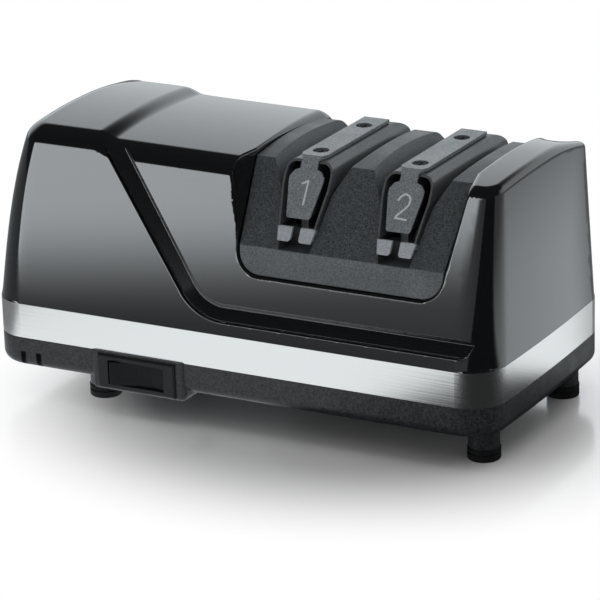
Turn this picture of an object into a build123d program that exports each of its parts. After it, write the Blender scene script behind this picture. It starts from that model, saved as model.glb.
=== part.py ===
from build123d import *
from math import cos, radians, sin, sqrt, tan
import os

# Two-stage electric knife sharpener, in millimetres. X runs along the body, the user faces the -Y side
# and Z is up. The origin is on the table, under the middle of the body.

# ------------------------------------------------------------------ driving dimensions: body
body_length = 225.0
body_depth = 110.0
base_bottom_z = 13.5
band_bottom_z = 26.0
parting_z = 33.2
band_top_z = 40.2
crest_z = 113.6
crest_y = -3.0
crown_radius = 330.0
deck_drop = 2.4
corner_radius = 15.0
end_bow = 1.5
wall = 2.8
band_thickness = 0.8
band_rebate = 0.9
base_edge_radius = 4.0

face_lean = 9.6
left_lean = 0.085
left_brow = 1.9e-5
right_lean = 0.026
rear_brow_radius = 20.0
top_corner_left = 9.0
top_corner_right = 6.5
top_edge_radius = 4.0
ramp_x = (-64.0, -57.5)

# ------------------------------------------------------------------ driving dimensions: trim channel
channel_depth = 1.6
channel_low_z = 44.9
channel_high_z = 52.6
channel_low_top_x = -64.4
channel_high_top_x = -52.6
channel_low_bend_x = -16.0
channel_high_bend_x = -11.5
channel_low_radius = 24.0
channel_high_radius = 15.0

# ------------------------------------------------------------------ driving dimensions: guide insert
opening_bottom_z = 65.0
opening_left_x = (2.0, 0.4)
opening_right_x = (89.0, 94.5)
opening_corner_radius = 9.5
flare_left = (1.6, 4.6)
flare_right = (0.4, 4.7)
insert_gap = 0.5
insert_floor_z = 64.0
insert_mid_y = -2.0
sill_y = -47.92
sill_z = 76.4
rib_top_z = 107.2
rib_crest_z = 109.3
insert_lean = 30.0
stage_x = (25.7, 68.4)
gap_at_sill = 6.6
gap_at_shoulder = 11.0
gap_at_top = 16.6
shoulder_z = 97.0

# ------------------------------------------------------------------ driving dimensions: guides
guide_proud = 2.1
spring_sheet = 0.9
spring_top_z = 108.6
spring_rear_y = 30.5
spring_rear_radius = 9.0
bar_thickness = 1.7
plate_sheet = 0.8
bar_rear_y = 24.3
guide_screw_y = (-23.5, 13.0)
stop_sheet = 1.3
stop_z = (80.2, 85.1)
stop_stem_z = (80.8, 82.4)
stop_offset = 1.8

# ------------------------------------------------------------------ driving dimensions: drive line
shaft_y = -3.5
shaft_z = 60.0
shaft_radius = 3.0
running_gap = 0.05
shaft_end_x = (-97.0, 100.5)
motor_x = -58.0
stack_length = 24.0
rotor_radius = 15.0
rotor_air_gap = 0.5
fan_x = (-96.0, -87.0)
fan_radius = 21.0
disc_radius = 25.5
disc_inner_offset = 3.0
disc_rim_offset = 5.0
disc_face_offset = 6.4
hub_offset = 7.0
hub_radius = 8.5
disc_travel = 1.5
pin_radius = 1.2
pin_offset = 6.0

# ------------------------------------------------------------------ driving dimensions: base fittings
foot_places = ((100.5, -37.1), (100.5, 37.1), (-68.5, -37.1), (-68.5, 37.1))
foot_post_radius = 6.2
post_spigot_radius = 3.6
pad_radius = 6.55
pad_height = 5.0
base_floor = 2.5
pillar_radius = 4.2
pillar_top_z = 36.0
case_screw_places = ((94.0, -46.0), (94.0, 46.0), (-94.0, -46.0), (-94.0, 46.0))
insert_screw_places = ((9.0, -37.0), (9.0, 33.0), (86.0, -37.0), (86.0, 33.0))
screw_radius = 1.5

switch_x = -42.0
switch_z = 18.2
switch_front_y = -57.4
bezel_half = (17.6, 7.2)
rocker_half = (11.9, 4.8)
rocker_rest_tilt = 7.0
rocker_pivot_y = -53.0

gland_x = -84.0
gland_z = 21.0
gland_barrel_radius = 4.0
gland_flange_radius = 4.9
cord_radius = 3.1

cover_x = (24.0, 70.0)
cover_front_y = -20.0
cover_hinge_y = 17.5
cover_hinge_z = 16.8

half_length = body_length / 2
half_depth = body_depth / 2
lean = tan(radians(face_lean))
guide_slope = tan(radians(insert_lean))
section_heights = (band_top_z, 76.0, 84.0, 92.0, crest_z + 1.5)

os.makedirs("parts", exist_ok=True)


def save(builder, name):
    """Label one finished piece and write it."""
    builder.part.label = name
    export_step(builder.part, f"parts/{name}.step")


def outline(z, x_left, x_right, y_front, y_rear, radius_left, radius_right):
    """Plan of the body at height z: straight front and back, gently bowed ends, rounded corners."""
    middle = (y_front + y_rear) / 2
    with BuildSketch(Plane.XY.offset(z)) as plan:
        with BuildLine():
            Line((x_left + end_bow, y_front), (x_right - end_bow, y_front))
            ThreePointArc((x_right - end_bow, y_front), (x_right, middle), (x_right - end_bow, y_rear))
            Line((x_right - end_bow, y_rear), (x_left + end_bow, y_rear))
            ThreePointArc((x_left + end_bow, y_rear), (x_left, middle), (x_left + end_bow, y_front))
        make_face()
        fillet(plan.vertices().group_by(Axis.X)[0], radius_left)
        fillet(plan.vertices().group_by(Axis.X)[-1], radius_right)
    return plan.sketch


def base_outline(z, inset=0.0):
    """Plan of the base, the band and the foot of the housing."""
    radius = corner_radius - inset
    return outline(
        z, inset - half_length, half_length - inset, inset - half_depth, half_depth - inset, radius, radius
    )


def housing_outline(z, inset=0.0):
    """Plan of the upper housing, whose four sides lean inwards as they rise; the left one curves as well."""
    rise = z - band_top_z
    share = rise / (crest_z - band_top_z)
    x_left = rise * left_lean + rise**3 * left_brow - half_length
    x_right = half_length - rise * right_lean
    y_front = rise * lean - half_depth
    y_rear = half_depth - rise * lean
    radius_left = corner_radius + (top_corner_left - corner_radius) * share
    radius_right = corner_radius + (top_corner_right - corner_radius) * share
    return outline(
        z, x_left + inset, x_right - inset, y_front + inset, y_rear - inset,
        radius_left - inset, radius_right - inset,
    )


def front_face_y(z):
    """The housing's outer front face at height z."""
    return (z - band_top_z) * lean - half_depth


def rib_face_y(z):
    """The leaning front of the insert's ribs at height z."""
    return sill_y + (z - sill_z) * guide_slope


def mirrored_y(y):
    """The same place at the back of the insert."""
    return 2 * insert_mid_y - y


def slab(x_range, y_range, z_range, mode=Mode.ADD):
    """A block between two corners."""
    size = [high - low for low, high in (x_range, y_range, z_range)]
    centre = [(high + low) / 2 for low, high in (x_range, y_range, z_range)]
    with Locations(tuple(centre)):
        Box(*size, mode=mode)


def front_polygon(points, y=0.0):
    """A face drawn on the XZ plane at depth y, as seen by the user."""
    plane = Plane(origin=(0, y, 0), x_dir=(1, 0, 0), z_dir=(0, -1, 0))
    with BuildSketch(plane) as face:
        with BuildLine():
            Polyline(*points, close=True)
        make_face()
    return face.sketch


def side_polygon(points, x=0.0):
    """A face drawn on the YZ plane at x."""
    plane = Plane(origin=(x, 0, 0), x_dir=(0, 1, 0), z_dir=(1, 0, 0))
    with BuildSketch(plane) as face:
        with BuildLine():
            Polyline(*points, close=True)
        make_face()
    return face.sketch


def crown_height(y, crest, inset=0.0):
    """Height of the top surface, a shallow arch from front to back, at depth y."""
    return crest - crown_radius + sqrt((crown_radius - inset) ** 2 - (y - crest_y) ** 2)


def shoulder_arc(side, crest, radius, inset=0.0):
    """The arc that joins the arched top to the leaning front (side -1) or back (side 1) of the housing."""
    outward = (side * cos(radians(face_lean)), sin(radians(face_lean)))
    low, high = band_top_z, crest
    while high - low > 1e-9:
        z = (low + high) / 2
        y = side * (half_depth - (z - band_top_z) * lean)
        centre = (y - outward[0] * radius, z - outward[1] * radius)
        arm = (centre[0] - crest_y, centre[1] - crest + crown_radius)
        distance = sqrt(arm[0] ** 2 + arm[1] ** 2)
        if distance < crown_radius - radius:
            low = z
        else:
            high = z
    upward = (arm[0] / distance, arm[1] / distance)
    between = ((upward[0] + outward[0]) / 2, (upward[1] + outward[1]) / 2)
    length = sqrt(between[0] ** 2 + between[1] ** 2)
    directions = (upward, (between[0] / length, between[1] / length), outward)
    return [(centre[0] + u * (radius - inset), centre[1] + v * (radius - inset)) for u, v in directions]


def crown_profile(x, inset=0.0):
    """Side view of the housing at x: its arched top and the broad curve down its back."""
    on_top, between, on_back = shoulder_arc(1, crest_z, rear_brow_radius, inset)
    foot = (on_back[0] + (on_back[1] - base_bottom_z) * lean, base_bottom_z)
    front = (-70.0, crown_height(-70.0, crest_z, inset))
    with BuildSketch(Plane(origin=(x, 0, 0), x_dir=(0, 1, 0), z_dir=(1, 0, 0))) as profile:
        with BuildLine():
            Polyline(foot, (-70.0, base_bottom_z), front)
            ThreePointArc(front, (crest_y, crest_z - inset), on_top)
            ThreePointArc(on_top, between, on_back)
            Line(on_back, foot)
        make_face()
    return profile.sketch


def deck_profile(x, drop):
    """Side view, at x, of what is cut away above the lowered deck."""
    crest = crest_z - drop
    on_top, between, on_front = shoulder_arc(-1, crest, top_edge_radius)
    back = (70.0, crown_height(70.0, crest))
    with BuildSketch(Plane(origin=(x, 0, 0), x_dir=(0, 1, 0), z_dir=(1, 0, 0))) as profile:
        with BuildLine():
            Polyline(back, (70.0, 130.0), (-70.0, 130.0), (-70.0, on_front[1]), on_front)
            ThreePointArc(on_front, between, on_top)
            ThreePointArc(on_top, (crest_y, crest), back)
        make_face()
    return profile.sketch


def top_perimeter(edge):
    """Whether an edge belongs to the rim around the arched top."""
    ends = (edge.position_at(0), edge.position_at(0.5), edge.position_at(1))
    runs_across_back = min(end.Y for end in ends) > 15 and abs(ends[0].X - ends[2].X) > 8
    return min(end.Z for end in ends) > 104 and max(end.Z for end in ends) > 108 and not runs_across_back


# ================================================================== upper housing
channel_top_z = 112.0
channel_low_top = (channel_low_top_x, channel_top_z)
channel_high_top = (channel_high_top_x, channel_top_z)
with BuildSketch(Plane(origin=(0, -80, 0), x_dir=(1, 0, 0), z_dir=(0, -1, 0))) as channel_face:
    with BuildLine():
        Polyline(
            channel_low_top, (channel_low_bend_x, channel_low_z), (half_length, channel_low_z),
            (half_length, channel_high_z), (channel_high_bend_x, channel_high_z), channel_high_top, close=True,
        )
    make_face()
    bends = channel_face.vertices().filter_by_position(Axis.X, -30, 0)
    fillet(bends.sort_by(Axis.Y)[0], channel_low_radius)
    fillet(bends.sort_by(Axis.Y)[-1], channel_high_radius)
channel_floor = [
    (-90.0, band_top_z), (front_face_y(band_top_z) + channel_depth, band_top_z),
    (front_face_y(crest_z) + channel_depth, crest_z), (-90.0, crest_z),
]

opening_points = [
    (opening_left_x[0], opening_bottom_z), (opening_right_x[0], opening_bottom_z),
    (opening_right_x[1], crest_z + 1), (opening_left_x[1], crest_z + 1),
]


def opening_face(gap=0.0):
    """Outline of the opening that the guide insert fills, or of the insert itself with a gap."""
    face = front_polygon([
        (opening_points[0][0] + gap, opening_points[0][1] + gap),
        (opening_points[1][0] - gap, opening_points[1][1] + gap),
        (opening_points[2][0] - gap, opening_points[2][1]),
        (opening_points[3][0] + gap, opening_points[3][1]),
    ], y=70.0)
    with BuildSketch(Plane(origin=(0, 70, 0), x_dir=(1, 0, 0), z_dir=(0, -1, 0))) as rounded:
        add(face)
        fillet(rounded.vertices().group_by(Axis.Y)[0], opening_corner_radius - gap)
    return rounded.sketch


def flare_triangle(z, side):
    """Plan of the cut that opens the left (0) or right (1) side of the insert towards the user."""
    outward = (-1.0, 1.0)[side]
    low, high = (flare_left, flare_right)[side]
    share = (z - opening_bottom_z) / (crest_z - opening_bottom_z)
    spread = low + (high - low) * share
    depth = rib_face_y(z) - front_face_y(z)
    edge_x = opening_edge_x(z, side) - outward * 0.4
    mouth_x = opening_edge_x(z, side) + outward * spread * (1.0 + 2.0 / max(depth, 2.0))
    corners = [(edge_x, front_face_y(z) - 2.0), (mouth_x, front_face_y(z) - 2.0), (edge_x, rib_face_y(z))]
    with BuildSketch(Plane.XY.offset(z)) as plan:
        with BuildLine():
            Polyline(*corners, close=True)
        make_face()
    return plan.sketch


def copysign_one(value):
    """1 or -1, with the sign of the value."""
    return 1.0 if value > 0 else -1.0


def opening_edge_x(z, side):
    """The left (0) or right (1) edge of the opening at height z."""
    low, high = (opening_left_x, opening_right_x)[side]
    return low + (high - low) * (z - opening_bottom_z) / (crest_z + 1 - opening_bottom_z)


flare_heights = (78.0, crest_z + 0.5)
surround_bottom_z = 70.0
surround_thickness = ((6.8, (-60.0, -27.0)), (2.4, (-30.0, 60.0)))
deck_start_x = ramp_x[0] - (ramp_x[1] - ramp_x[0]) / deck_drop * 0.3
deck_end_x = opening_left_x[0] + 1.0
with BuildPart(mode=Mode.PRIVATE) as deck_tool:
    loft([deck_profile(deck_start_x, -0.3), deck_profile(ramp_x[1], deck_drop)], ruled=True)
    extrude(deck_profile(ramp_x[1], deck_drop), deck_end_x - ramp_x[1])
with BuildPart(mode=Mode.PRIVATE) as housing_cavity:
    loft([housing_outline(z, wall) for z in section_heights], ruled=True)
    extrude(crown_profile(-half_length, wall), body_length, mode=Mode.INTERSECT)
    add(deck_tool.part.moved(Location((0, 0, -wall))), mode=Mode.SUBTRACT)
with BuildPart(mode=Mode.PRIVATE) as opening_surround:
    for side, outward in ((0, -1.0), (1, 1.0)):
        edge_low = opening_edge_x(surround_bottom_z, side)
        edge_high = opening_edge_x(crest_z, side)
        for thickness, (near_y, far_y) in surround_thickness:
            corners = [
                (edge_low, surround_bottom_z), (edge_low + outward * thickness, surround_bottom_z),
                (edge_high + outward * thickness, crest_z), (edge_high, crest_z),
            ]
            extrude(front_polygon(corners, y=far_y), far_y - near_y)
    add(housing_cavity.part, mode=Mode.INTERSECT)

with BuildPart() as upper_housing:
    loft([housing_outline(z) for z in section_heights], ruled=True)
    extrude(crown_profile(-half_length), body_length, mode=Mode.INTERSECT)
    fillet(upper_housing.edges().filter_by(top_perimeter), top_edge_radius)
    add(deck_tool.part, mode=Mode.SUBTRACT)
    add(housing_cavity.part, mode=Mode.SUBTRACT)
    add(opening_surround.part)
    skirt_height = band_top_z - parting_z
    extrude(base_outline(parting_z, band_rebate), skirt_height)
    extrude(base_outline(parting_z, wall), skirt_height, mode=Mode.SUBTRACT)
    extrude(opening_face(), 140.0, mode=Mode.SUBTRACT)
    for side in (0, 1):
        loft([flare_triangle(z, side) for z in flare_heights], ruled=True, mode=Mode.SUBTRACT)
    with BuildPart(mode=Mode.PRIVATE) as channel_tool:
        extrude(channel_face.sketch, -60.0)
        extrude(side_polygon(channel_floor, x=-half_length), body_length, mode=Mode.INTERSECT)
    add(channel_tool.part, mode=Mode.SUBTRACT)
    for x, y in case_screw_places:
        inward = copysign_one(y)
        with Locations((x, y, (pillar_top_z + 62.0) / 2)):
            Cylinder(pillar_radius, 62.0 - pillar_top_z)
        web = (y, y + inward * 4.4)
        slab((x - 1.0, x + 1.0), (min(web), max(web)), (band_top_z + 0.5, 62.0))
    for x, y in case_screw_places:
        with Locations((x, y, pillar_top_z + 6.0)):
            Cylinder(screw_radius + running_gap, 12.0, mode=Mode.SUBTRACT)
save(upper_housing, "upper_housing")

# ================================================================== steel band
with BuildPart() as steel_band:
    extrude(base_outline(band_bottom_z), band_top_z - band_bottom_z)
    extrude(base_outline(band_bottom_z, band_thickness), band_top_z - band_bottom_z, mode=Mode.SUBTRACT)
save(steel_band, "steel_band")

# ================================================================== base pan
skirt_top_z = parting_z - 0.1
floor_top_z = base_bottom_z + base_floor
block_x = (-63.5, -20.5)
block_y = (-56.2, -35.0)
block_z = (9.7, band_bottom_z)
pocket_x = (switch_x - 14.1, switch_x + 14.1)
pocket_z = (switch_z - 6.4, switch_z + 6.4)
floor_opening_x = (cover_x[0] - 0.4, cover_x[1] + 0.4)
floor_opening_y = (cover_front_y - 0.4, cover_hinge_y + 3.3)
front_vents = (-88.6, -95.8)
side_vents = (-28.8, -21.6, -14.4, -7.2, 0.0, 7.2, 14.4, 21.6, 28.8)
bearing_pedestal_x = (94.5, 101.0)

with BuildPart() as base_pan:
    extrude(base_outline(base_bottom_z), band_bottom_z - base_bottom_z)
    fillet(base_pan.faces().sort_by(Axis.Z)[0].edges(), base_edge_radius)
    with BuildPart(mode=Mode.PRIVATE) as switch_block:
        slab(block_x, block_y, block_z)
        lower = switch_block.edges().filter_by_position(Axis.Z, block_z[0] - 0.1, block_z[0] + 0.1)
        upright = switch_block.edges().filter_by(Axis.Z).filter_by_position(Axis.Y, -57, -56)
        fillet(lower + upright, 2.5)
    add(switch_block.part)
    extrude(base_outline(band_bottom_z, band_rebate), skirt_top_z - band_bottom_z)
    with BuildPart(mode=Mode.PRIVATE) as pan_cavity:
        extrude(base_outline(floor_top_z, wall), skirt_top_z - floor_top_z)
        slab(block_x, (-60.0, block_y[1]), (floor_top_z, band_bottom_z), mode=Mode.SUBTRACT)
    add(pan_cavity.part, mode=Mode.SUBTRACT)
    slab(pocket_x, (-60.0, block_y[1] - 2.2), pocket_z, mode=Mode.SUBTRACT)
    terminal_slot = (switch_x - 11.0, switch_x + 11.0)
    slab(terminal_slot, (-40.0, -30.0), (switch_z - 2.0, switch_z + 4.0), mode=Mode.SUBTRACT)
    for x, y in foot_places:
        with Locations((x, y, base_bottom_z)):
            Cylinder(post_spigot_radius + running_gap, 8.0, mode=Mode.SUBTRACT)
        with Locations((x, y, base_bottom_z - 3.0)):
            Cylinder(foot_post_radius + running_gap, 6.0, mode=Mode.SUBTRACT)
    for x, y in case_screw_places + insert_screw_places:
        with Locations((x, y, (floor_top_z - 1.0 + pillar_top_z) / 2)):
            Cylinder(pillar_radius, pillar_top_z - floor_top_z + 1.0)
        with Locations((x, y, pillar_top_z / 2)):
            Cylinder(screw_radius + 0.2, pillar_top_z, mode=Mode.SUBTRACT)
        with Locations((x, y, (base_bottom_z + 20.0) / 2)):
            Cylinder(3.3, 20.0 - base_bottom_z, mode=Mode.SUBTRACT)
    for x in (motor_x - 8.0, motor_x + 8.0):
        for y in (-18.0, 12.0):
            with Locations((x, y, (floor_top_z - 1.0 + 34.0) / 2)):
                Cylinder(3.5, 34.0 - floor_top_z + 1.0)
    slab(bearing_pedestal_x, (shaft_y - 8.5, shaft_y + 8.5), (floor_top_z - 0.5, shaft_z))
    with Locations(Location((sum(bearing_pedestal_x) / 2, shaft_y, shaft_z), (0, 90, 0))):
        Cylinder(8.5, bearing_pedestal_x[1] - bearing_pedestal_x[0])
        Cylinder(6.05, 20.0, mode=Mode.SUBTRACT)
    slab(floor_opening_x, floor_opening_y, (0.0, floor_top_z), mode=Mode.SUBTRACT)
    for x in (floor_opening_x[0] - 1.55, floor_opening_x[1] + 1.55):
        ear_y = (cover_hinge_y - 2.9, cover_hinge_y + 2.9)
        slab((x - 1.55, x + 1.55), ear_y, (floor_top_z - 0.5, cover_hinge_z))
        with Locations(Location((x, cover_hinge_y, cover_hinge_z), (0, 90, 0))):
            Cylinder(2.9, 3.1)
            Cylinder(1.25, 12.0, mode=Mode.SUBTRACT)
    for x in front_vents:
        slab((x - 1.25, x + 1.25), (-60.0, wall - half_depth - 0.1), (0.0, 20.0), mode=Mode.SUBTRACT)
    for y in side_vents:
        slab((-120.0, wall + end_bow - half_length), (y - 1.25, y + 1.25), (0.0, 20.0), mode=Mode.SUBTRACT)
    with Locations(Location((gland_x, half_depth, gland_z), (90, 0, 0))):
        Cylinder(gland_barrel_radius + running_gap, 20.0, mode=Mode.SUBTRACT)
save(base_pan, "base_pan")

# ================================================================== foot posts and rubber feet
with BuildPart() as foot_posts:
    for x, y in foot_places:
        with Locations((x, y, (pad_height + base_bottom_z) / 2)):
            Cylinder(foot_post_radius, base_bottom_z - pad_height)
        with Locations((x, y, (base_bottom_z + floor_top_z) / 2)):
            Cylinder(post_spigot_radius, base_floor)
        with Locations((x, y, pad_height + 3.25)):
            Cylinder(2.5, 6.5, mode=Mode.SUBTRACT)
save(foot_posts, "foot_posts")

with BuildPart() as rubber_feet:
    for x, y in foot_places:
        with Locations((x, y, pad_height / 2)):
            Cylinder(pad_radius, pad_height)
        with Locations((x, y, pad_height + 3.0)):
            Cylinder(2.4, 6.0)
        with Locations((x, y, 3.0)):
            Cylinder(pad_radius + 1, 0.6, mode=Mode.SUBTRACT)
            Cylinder(pad_radius - 0.5, 0.6)
    fillet(rubber_feet.edges().filter_by(GeomType.CIRCLE).group_by(Axis.Z)[0], 0.8)
save(rubber_feet, "rubber_feet")

# ================================================================== guide insert
lip_z = insert_floor_z + 2.5
well_half = 7.6
well_y = (-43.0, 39.0)
rib_wall = 2.2
shelf_y = (-38.0, -34.0)
shelf_z = (76.0, 83.0)
beam_z = (88.0, spring_top_z - spring_sheet)
beam_front_y = (-38.0, -29.0)

rib_front = (rib_face_y(rib_top_z), rib_top_z)
rib_back = (mirrored_y(rib_front[0]), rib_top_z)
with BuildSketch(Plane.YZ) as insert_profile:
    with BuildLine():
        Polyline((-50.0, opening_bottom_z), (sill_y, sill_z), rib_front)
        ThreePointArc(rib_front, (insert_mid_y, rib_crest_z), rib_back)
        Polyline(
            rib_back, (mirrored_y(sill_y), sill_z), (mirrored_y(-50.0), opening_bottom_z),
            (-50.0, opening_bottom_z),
        )
    make_face()


def flank_gap(z):
    """Half the width of a stage's valley at height z."""
    if z < shoulder_z:
        share = (z - sill_z) / (shoulder_z - sill_z)
        return gap_at_sill + (gap_at_shoulder - gap_at_sill) * share
    share = (z - shoulder_z) / (rib_top_z - shoulder_z)
    return gap_at_shoulder + (gap_at_top - gap_at_shoulder) * share


def valley_face(centre):
    """The open V between two ribs, as seen by the user."""
    top = rib_top_z + 3.0
    points = []
    for side in (-1, 1):
        flank = [(centre + side * flank_gap(z), z) for z in (sill_z, shoulder_z, rib_top_z)]
        flank.append((centre + side * flank_gap(top), top))
        points += flank[::-1] if side < 0 else flank
    return front_polygon(points, y=70.0)


def rib_hollow(left_centre, right_centre, opening_sides):
    """The space inside a rib, open below. Its sides follow the valleys at one wall's distance."""
    left_x, right_x = opening_sides
    heights = (insert_floor_z - 1.0, sill_z, shoulder_z - 3.0)
    left = []
    right = []
    for z in heights:
        gap = max(flank_gap(max(z, sill_z)), well_half) + rib_wall
        left.append((left_x if left_centre is None else left_centre + gap, z))
        right.append((right_x if right_centre is None else right_centre - gap, z))
    face = front_polygon(left + right[::-1], y=70.0)
    slant = rib_wall + 1.0
    profile = [
        (sill_y + slant, insert_floor_z - 1.0), (sill_y + slant, sill_z),
        (rib_face_y(heights[2]) + slant, heights[2]),
        (mirrored_y(rib_face_y(heights[2]) + slant), heights[2]),
        (mirrored_y(sill_y + slant), sill_z), (mirrored_y(sill_y + slant), insert_floor_z - 1.0),
    ]
    with BuildPart(mode=Mode.PRIVATE) as hollow:
        extrude(face, 140.0)
        extrude(side_polygon(profile), 100.0, mode=Mode.INTERSECT)
    return hollow.part


with BuildPart() as guide_insert:
    extrude(opening_face(insert_gap), 140.0)
    extrude(insert_profile.sketch, 100.0, mode=Mode.INTERSECT)
    across = guide_insert.edges().filter_by(Axis.X)
    rear_top = across.filter_by_position(Axis.Z, rib_top_z - 0.1, rib_top_z + 0.1)
    fillet(rear_top.sort_by(Axis.Y)[-1], 5.0)
    slab((6.0, 88.0), (-47.2, 43.2), (insert_floor_z, opening_bottom_z + 2.0))
    slab((12.0, 82.0), (-47.2, -45.2), (58.0, insert_floor_z + 1.0))
    for centre in stage_x:
        extrude(valley_face(centre), 140.0, mode=Mode.SUBTRACT)
        slab((centre - well_half, centre + well_half), well_y, (0.0, sill_z - 2.8), mode=Mode.SUBTRACT)
        well = (centre - gap_at_sill, centre + gap_at_sill)
        slab(well, (-33.0, 29.0), (sill_z - 4.0, sill_z + 1.0), mode=Mode.SUBTRACT)
    add(rib_hollow(stage_x[0], stage_x[1], (0.0, 0.0)), mode=Mode.SUBTRACT)
    for x, y in insert_screw_places:
        with Locations((x, y, (pillar_top_z + insert_floor_z + 4.0) / 2)):
            Cylinder(pillar_radius - 0.2, insert_floor_z + 4.0 - pillar_top_z)
        with Locations((x, y, pillar_top_z + 6.0)):
            Cylinder(screw_radius + running_gap, 12.0, mode=Mode.SUBTRACT)
    for centre in stage_x:
        ends = (shelf_y, tuple(sorted(mirrored_y(y) for y in shelf_y)))
        for near, far in ends:
            slab((centre - 7.6, centre + 7.6), (near, far), shelf_z)
            slab((centre - 1.6, centre + 1.6), (near, far), (shelf_z[1], beam_z[0] + 2.0))
        beam = [
            (beam_front_y[0], beam_z[0]), (beam_front_y[1], beam_z[1]),
            (mirrored_y(beam_front_y[1]), beam_z[1]), (mirrored_y(beam_front_y[0]), beam_z[0]),
        ]
        extrude(side_polygon(beam, x=centre - 3.0), 6.0)
        for y in guide_screw_y:
            with Locations((centre, y, beam_z[1] - 4.0)):
                Cylinder(screw_radius + running_gap, 8.0, mode=Mode.SUBTRACT)
save(guide_insert, "guide_insert")


# ================================================================== guide springs and guide bars
def guide_plane_y(z, proud=guide_proud):
    """The leaning plane, ahead of the ribs, in which the springs' and plates' edges lie."""
    return rib_face_y(z) - proud


arch_half_widths = ((10.0, 108.6), (10.35, 103.0), (10.3, 99.0), (9.1, 92.0), (8.1, 85.4))
plate_half_widths = (
    (5.5, 111.0), (5.5, 108.9), (3.6, 108.6), (3.6, 105.6), (5.65, 104.9), (7.35, 102.9), (7.35, 101.1),
    (5.15, 89.3), (4.5, 88.6),
)


def arch_face(centre, inset=0.0):
    """The spring's outline seen by the user, open below."""
    left = [(centre - half + inset, min(z, spring_top_z - inset)) for half, z in arch_half_widths]
    right = [(centre + half - inset, min(z, spring_top_z - inset)) for half, z in arch_half_widths]
    left[-1] = (left[-1][0], left[-1][1] - (1.0 if inset else 0.0))
    right[-1] = (right[-1][0], right[-1][1] - (1.0 if inset else 0.0))
    face = front_polygon(left[::-1] + right, y=70.0)
    with BuildSketch(Plane(origin=(0, 70, 0), x_dir=(1, 0, 0), z_dir=(0, -1, 0))) as rounded:
        add(face)
        fillet(rounded.vertices().group_by(Axis.Y)[-1], 4.5 - inset)
    return rounded.sketch


def spring_slice(inset=0.0):
    """The spring from the side: a leaning front edge and a back that curves down. The inside stays open."""
    foot_z = arch_half_widths[-1][1] - 2 * inset
    front_slip = 30.0 if inset else 0.0
    corner = (spring_rear_y - inset, spring_top_z - inset)
    rear_foot = (corner[0] + (corner[1] - foot_z) * guide_slope, foot_z)
    with BuildSketch(Plane.YZ) as side:
        with BuildLine():
            Polyline(
                (guide_plane_y(foot_z) - front_slip, foot_z),
                (guide_plane_y(corner[1]) - front_slip, corner[1]), corner, rear_foot, close=True,
            )
        make_face()
        fillet(side.vertices().sort_by(Axis.X)[-2], spring_rear_radius - inset)
    return side.sketch


for number, centre in enumerate(stage_x, start=1):
    with BuildPart(mode=Mode.PRIVATE) as spring_inside:
        extrude(arch_face(centre, spring_sheet), 140.0)
        extrude(spring_slice(spring_sheet), 120.0, mode=Mode.INTERSECT)
        slab((centre - 6.9, centre + 6.9), (20.0, 60.0), (80.0, 98.0))
    with BuildPart() as guide_spring:
        extrude(arch_face(centre), 140.0)
        extrude(spring_slice(), 120.0, mode=Mode.INTERSECT)
        add(spring_inside.part, mode=Mode.SUBTRACT)
        for y in guide_screw_y:
            with Locations((centre, y, spring_top_z)):
                Cylinder(screw_radius + 0.1, 6.0, mode=Mode.SUBTRACT)
    save(guide_spring, f"guide_spring_{number}")

bar_top_z = spring_top_z + bar_thickness
bar_gap = 0.15
strip = [
    (guide_plane_y(spring_top_z) - bar_gap + 0.8, bar_top_z), (bar_rear_y, bar_top_z),
    (bar_rear_y, spring_top_z), (guide_plane_y(spring_top_z) - bar_gap, spring_top_z),
    (guide_plane_y(plate_half_widths[-1][1]) - bar_gap, plate_half_widths[-1][1]),
    (guide_plane_y(plate_half_widths[-1][1]) - bar_gap - plate_sheet, plate_half_widths[-1][1]),
    (guide_plane_y(spring_top_z) - bar_gap - plate_sheet, spring_top_z),
]
for number, centre in enumerate(stage_x, start=1):
    plate_left = [(centre - half, z) for half, z in plate_half_widths]
    plate_right = [(centre + half, z) for half, z in plate_half_widths]
    with BuildPart() as guide_bar:
        extrude(front_polygon(plate_left[::-1] + plate_right, y=70.0), 140.0)
        extrude(side_polygon(strip), 120.0, mode=Mode.INTERSECT)
        for side in (-1, 1):
            front_y = guide_plane_y(spring_top_z) - bar_gap - plate_sheet
            corner = [(side * 3.6, front_y), (side * 6.0, front_y), (side * 6.0, front_y + 5.0)]
            with BuildSketch(Plane.XY.offset(spring_top_z - 0.1)):
                with BuildLine():
                    Polyline(*[(centre + x, y) for x, y in corner], close=True)
                make_face()
            extrude(amount=3.0, mode=Mode.SUBTRACT)
        for y in guide_screw_y:
            with Locations((centre, y, bar_top_z - 0.6)):
                Cylinder(3.25, 1.2, mode=Mode.SUBTRACT)
            with Locations((centre, y, bar_top_z - 1.0)):
                Cylinder(screw_radius + 0.1, 6.0, mode=Mode.SUBTRACT)
    save(guide_bar, f"guide_bar_{number}")

with BuildPart() as guide_bar_screws:
    for centre in stage_x:
        for y in guide_screw_y:
            with Locations((centre, y, bar_top_z - 0.9)):
                Cylinder(2.9, 0.6)
            with Locations((centre, y, bar_top_z - 1.2 - 3.9)):
                Cylinder(screw_radius, 7.8)
            with Locations((centre, y, bar_top_z - 0.8)):
                Box(0.8, 3.6, 0.5, mode=Mode.SUBTRACT)
                Box(3.6, 0.8, 0.5, mode=Mode.SUBTRACT)
save(guide_bar_screws, "guide_bar_screws")

plate_slice = [
    (guide_plane_y(stop_z[0]), stop_z[0]), (guide_plane_y(stop_z[1]), stop_z[1]),
    (guide_plane_y(stop_z[1]) + stop_sheet, stop_z[1]), (guide_plane_y(stop_z[0]) + stop_sheet, stop_z[0]),
]
stem_slice = [
    (guide_plane_y(stop_stem_z[0]) + 0.5, stop_stem_z[0]),
    (guide_plane_y(stop_stem_z[1]) + 0.5, stop_stem_z[1]),
    (shelf_y[0], stop_stem_z[1]), (shelf_y[0], stop_stem_z[0]),
]


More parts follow.
